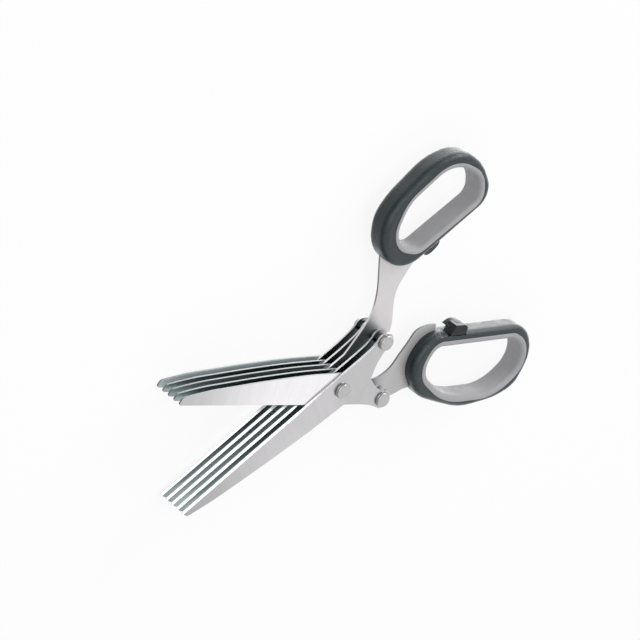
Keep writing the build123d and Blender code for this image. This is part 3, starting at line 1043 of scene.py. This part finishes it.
@dataclass
class Half:
    """One half: five blades, the middle one with its arm, rivet, spacers, grip and liner."""

    side: Side
    # Tones of the painted light and shade on the half's blades.
    light_tones: dict[str, float] = field(default_factory=dict)
    arm_face: Colour = (0.57, 0.56, 0.57)
    satin_less_shaded_back: bool = False
    blade_levels: tuple[int, ...] = (1, 2, 4, 5)
    level_count: int = 5
    arm_index: int = 2
    above_back: float = 0.3 * MM
    spacer_count: int = 4
    spacer_radius: float = 2.5 * MM
    rear_radius: float = 1.5 * MM
    rear_along: float = 27.0 * MM
    rear_across: float = 6.9 * MM
    grip: MouldedPlastic = MouldedPlastic(
        "dark_grip", (0.005, 0.015, 0.018), (0.008, 0.020, 0.024),
        roughness=0.34, grain_per_m=1500.0, grain_depth=1.2e-4)
    liner: MouldedPlastic = MouldedPlastic(
        "light_liner", (0.345, 0.345, 0.36), (0.37, 0.37, 0.38),
        roughness=0.60, grain_depth=3.0e-6, specular=0.4)

    def rear(self) -> tuple[float, float]:
        """Works out the place of the rear rivet's axis.

        Returns:
            The place on the plane of the blades.
        """
        across = self.side.value * self.rear_across
        spot = Matrix.Rotation(self.side.turn, 2) @ Vector((self.rear_along, across))
        return spot.x, spot.y

    def steel(self, part: str, **looks: object) -> bpy.types.Material:
        """Steel of a part of the half, with what differs from the usual finish and its painted
        light and shade.
        """
        return BladeSteel(f"{self.side.word}_{part}_steel", self.side, **looks).material()

    def build(
        self, nodes: Nodes, rings: RingStackTree, comb: BladeCombTree,
    ) -> list[Piece]:
        """Makes the blades, arm and turned fittings, and dresses grip and liner.

        Args:
            nodes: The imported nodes.
            rings: The tree that makes rings.
            comb: The tree that repeats the blade.

        Returns:
            The half's pieces.
        """
        word, body = self.side.word, self.side.body
        turned = TurnedSteel(f"{word}_rear_steel", self.rear()).material()
        dull = DullShadedSteel(f"{word}_spacer_steel", self.rear()).material()
        names = [f"{word}_spacer_{number}" for number in range(1, self.spacer_count + 1)]
        spacers = Rings(f"{word}_spacers", names, body, self.spacer_radius, self.rear_radius)
        rivet = Rivet(
            f"{word}_rear_rivet_turned", f"{word}_rear_rivet", body, turned, self.rear_radius)
        return [
            self._blades(nodes, comb),
            self._arm(nodes),
            dress(nodes[f"{word}_grip"], self.grip.material()),
            dress(nodes[f"{word}_liner"], self.liner.material()),
            spacers.build(rings, dull),
            rivet.build(),
        ]

    def _blades(self, nodes: Nodes, comb: BladeCombTree) -> Piece:
        """Makes the blades without an arm from the lowest one.

        Args:
            nodes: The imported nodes.
            comb: The tree that repeats the blade.

        Returns:
            The blades, which stand for their nodes.
        """
        word = self.side.word
        steel = self.steel("blade", **self.light_tones)
        back = steel
        # The back blade: satin and less metallic, with a lighter painted shade on its inner faces.
        if self.satin_less_shaded_back:
            back = self.steel("back", roughness=0.45, metal=0.3, arm_metal=0.3, inner_tone=0.9)
        names = [f"{word}_blade_{level}" for level in self.blade_levels]
        low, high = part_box(names[-1])
        pitch = (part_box(names[0])[0].z - low.z) / (self.level_count - 1)
        holes = [(0.0, 0.0), self.rear()]
        blades = EasedPlate(names[-1], f"{word}_blades", self.side).build(nodes, holes)
        comb.run(blades, {
            "Pitch": pitch, "Count": self.level_count, "Left Out": self.arm_index,
            "Back Level": high.z + self.above_back, "Finish": steel, "Back Finish": back,
        })
        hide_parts(*names)
        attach(blades, self.side.body)
        return blades

    def _arm(self, nodes: Nodes) -> Piece:
        """Makes the middle blade with its arm.

        Args:
            nodes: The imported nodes.

        Returns:
            The blade with its arm, which stands for its node.
        """
        word = self.side.word
        plate = EasedPlate(f"{word}_arm_blade", f"{word}_arm", self.side, ease=0.0).build(nodes)
        steel = self.steel("arm", face=self.arm_face, roughness=0.40, arm_metal=0.35)
        plate.data.materials.append(steel)
        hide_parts(f"{word}_arm_blade")
        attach(plate, self.side.body)
        return plate


@dataclass
class Pivot:
    """Rivet on which the halves turn, with its washers."""

    radius: float = 2.0 * MM
    washer_radius: float = 4.0 * MM
    washer_count: int = 4

    def build(self, rings: RingStackTree) -> list[Piece]:
        """Makes the rivet and the washers.

        Args:
            rings: The tree that makes rings.

        Returns:
            The washers and the rivet.
        """
        body = Side.FINGER.body
        turned = TurnedSteel("pivot_steel", (0.0, 0.0)).material()
        dull = DullShadedSteel("washer_shaded_steel", (0.0, 0.0)).material()
        names = [f"pivot_washer_{number}" for number in range(1, self.washer_count + 1)]
        washers = Rings("pivot_washers", names, body, self.washer_radius, self.radius)
        rivet = Rivet("pivot_rivet_turned", "pivot_rivet", body, turned, self.radius)
        return [washers.build(rings, dull), rivet.build()]


@dataclass
class LockLever:
    """Small hooked lever in the finger loop, and its pin."""

    plastic: MouldedPlastic = MouldedPlastic(
        "lever_plastic", (0.003, 0.006, 0.008), (0.005, 0.009, 0.011),
        roughness=0.34, grain_depth=1.0e-6, specular=0.3)

    def build(self, nodes: Nodes) -> list[Piece]:
        """Dresses the lever and the pin.

        Args:
            nodes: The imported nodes.

        Returns:
            The lever and the pin.
        """
        low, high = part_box("lock_pin")
        centre = (low + high) / 2
        steel = TurnedSteel("lock_pin_steel", (centre.x, centre.y)).material()
        return [
            dress(nodes["lock_lever"], self.plastic.material()),
            dress(nodes["lock_pin"], steel),
        ]


@dataclass
class Lamp:
    """Soft square lamp."""

    name: str
    at: tuple[float, float, float]
    size: float
    power: float
    aim: tuple[float, float, float] = (0.01, 0.0, 0.01)

    def build(self) -> None:
        """Puts the lamp in place."""
        light = bpy.data.lights.new(self.name, "AREA")
        light.shape = "SQUARE"
        light.size = self.size
        light.energy = self.power
        lamp = placed(self.name, light)
        lamp.location = self.at
        back = Vector(self.at) - Vector(self.aim)
        lamp.rotation_euler = back.to_track_quat("Z", "Y").to_euler()


@dataclass
class Studio:
    """Pale floor, soft lamps and white surroundings.

    In reflections the surroundings have three bands: below, around and above. Spans named way are
    directions that a step lies between, and the others are strengths.
    """

    floor_half: float = 1.6
    floor_level: float = -0.3 * MM
    floor_colour: Colour = (0.90, 0.90, 0.90)
    white_share: float = 0.87
    surround_soft: float = 0.72
    below: Span = (0.85, 1.9)
    below_way: Span = (-0.45, 0.35)
    glare: Span = (1.0, 2.2)
    glare_way: Span = (0.45, 0.82)
    around: Span = (0.40, 0.95)
    around_way: Span = (-0.50, 0.30)
    above: Span = (1.18, 0.95)
    above_way: Span = (0.60, 0.95)
    around_from_way: Span = (-0.30, -0.05)
    above_from_way: Span = (0.35, 0.60)
    lamps: tuple[Lamp, ...] = (
        Lamp("key_lamp", (0.85, 0.60, 0.34), 0.50, 4.0),
        Lamp("top_lamp", (-0.15, 0.35, 1.1), 0.8, 3.0),
    )

    def build(self) -> None:
        """Makes floor, lamps and surroundings."""
        self._floor()
        for lamp in self.lamps:
            lamp.build()
        self._surroundings()
        bpy.context.scene.view_settings.view_transform = "Standard"

    def _floor(self) -> None:
        """Makes the floor: white to the camera, with the object's shadow kept."""
        half, level = self.floor_half, self.floor_level
        mesh = bpy.data.meshes.new("floor")
        square = [(x * half, y * half, level) for x, y in ((-1, -1), (1, -1), (1, 1), (-1, 1))]
        mesh.from_pydata(square, [], [(0, 1, 2, 3)])
        floor = placed("floor", mesh)
        material, bench = empty_material("pale_floor")
        matte = bench.put("ShaderNodeBsdfDiffuse", {"Color": (*self.floor_colour, 1)})
        glow = bench.put("ShaderNodeEmission", {"Color": (1, 1, 1, 1), "Strength": 1.0})
        to_camera = bench.put("ShaderNodeLightPath").outputs["Is Camera Ray"]
        seen = bench.product(to_camera, self.white_share)
        mix = bench.put("ShaderNodeMixShader", {0: seen, 1: matte.outputs[0], 2: glow.outputs[0]})
        bench.put("ShaderNodeOutputMaterial", {"Surface": mix.outputs[0]})
        mesh.materials.append(material)
        floor.visible_glossy = False

    def _surroundings(self) -> None:
        """Makes the world: white to the camera, pale in reflections, softer as light."""
        world = bpy.data.worlds.new("white_surroundings")
        bpy.context.scene.world = world
        world.use_nodes = True
        world.node_tree.nodes.clear()
        bench = Bench(world.node_tree)
        path = bench.put("ShaderNodeLightPath").outputs
        ahead, _, up = bench.split(bench.put("ShaderNodeTexCoord").outputs["Generated"])[:3]
        below = bench.product(
            bench.ramp(ahead, self.below_way, self.below),
            bench.ramp(ahead, self.glare_way, self.glare),
        )
        around = bench.ramp(ahead, self.around_way, self.around)
        above = bench.ramp(up, self.above_way, self.above)
        gloss = bench.mix(bench.ramp(up, self.around_from_way), below, around)
        gloss = bench.mix(bench.ramp(up, self.above_from_way), gloss, above)
        strength = bench.mix(path["Is Glossy Ray"], self.surround_soft, gloss)
        strength = bench.mix(path["Is Camera Ray"], strength, 1.0)
        sky = bench.put("ShaderNodeBackground", {"Color": (1, 1, 1, 1), "Strength": strength})
        bench.put("ShaderNodeOutputWorld", {"Surface": sky.outputs[0]})


@dataclass
class PhotoCamera:
    """Camera at the photograph's angle."""

    right: tuple[float, float, float] = (0.7896, 0.0138, 0.6135)
    up: tuple[float, float, float] = (0.3337, 0.8294, -0.4481)
    back: tuple[float, float, float] = (-0.5150, 0.5585, 0.6503)
    level: float = 11.18 * MM
    aside: float = -4.639 * MM
    above: float = 26.58 * MM
    distance: float = 1.0
    lens: float = 131.06
    sensor: float = 36.0
    sees: Span = (0.01, 20.0)

    def build(self) -> None:
        """Makes the camera and sets it for the scene."""
        turn = Matrix((self.right, self.up, self.back)).transposed().to_quaternion().normalized()
        data = bpy.data.cameras.new("photo_camera")
        data.lens = self.lens
        data.sensor_width = self.sensor
        data.clip_start, data.clip_end = self.sees
        camera = placed("photo_camera", data)
        camera.rotation_mode = "QUATERNION"
        camera.rotation_quaternion = turn
        spot = turn.to_matrix() @ Vector((self.aside, self.above, self.distance))
        camera.location = spot + Vector((0, 0, self.level))
        bpy.context.scene.camera = camera


def main() -> None:
    """Builds every piece, the studio and the camera."""
    logging.basicConfig(level=logging.INFO, format="%(name)s: %(message)s")
    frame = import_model()
    nodes = frame["nodes"]
    rings = RingStackTree()
    comb = BladeCombTree()
    # Each half gets its own tones of painted light and shade on the blades.
    halves = (
        Half(
            Side.THUMB,
            light_tones={"inner_tone": 0.55, "tip_light_tone": 0.68, "root_light_tone": 0.94},
            arm_face=(0.76, 0.735, 0.75),
        ),
        Half(
            Side.FINGER,
            light_tones={"tip_light_tone": 0.85, "root_light_tone": 1.43, "edge_highlight_tone": 1.1},
            satin_less_shaded_back=True,
        ),
    )
    pieces = [piece for half in halves for piece in half.build(nodes, rings, comb)]
    pieces += Pivot().build(rings) + LockLever().build(nodes)
    for piece in pieces:
        finishes = ", ".join(slot.name for slot in piece.material_slots)
        LOG.info("built %s in %s", piece.name, finishes)
    Studio().build()
    PhotoCamera().build()


if __name__ == "__main__":
    main()
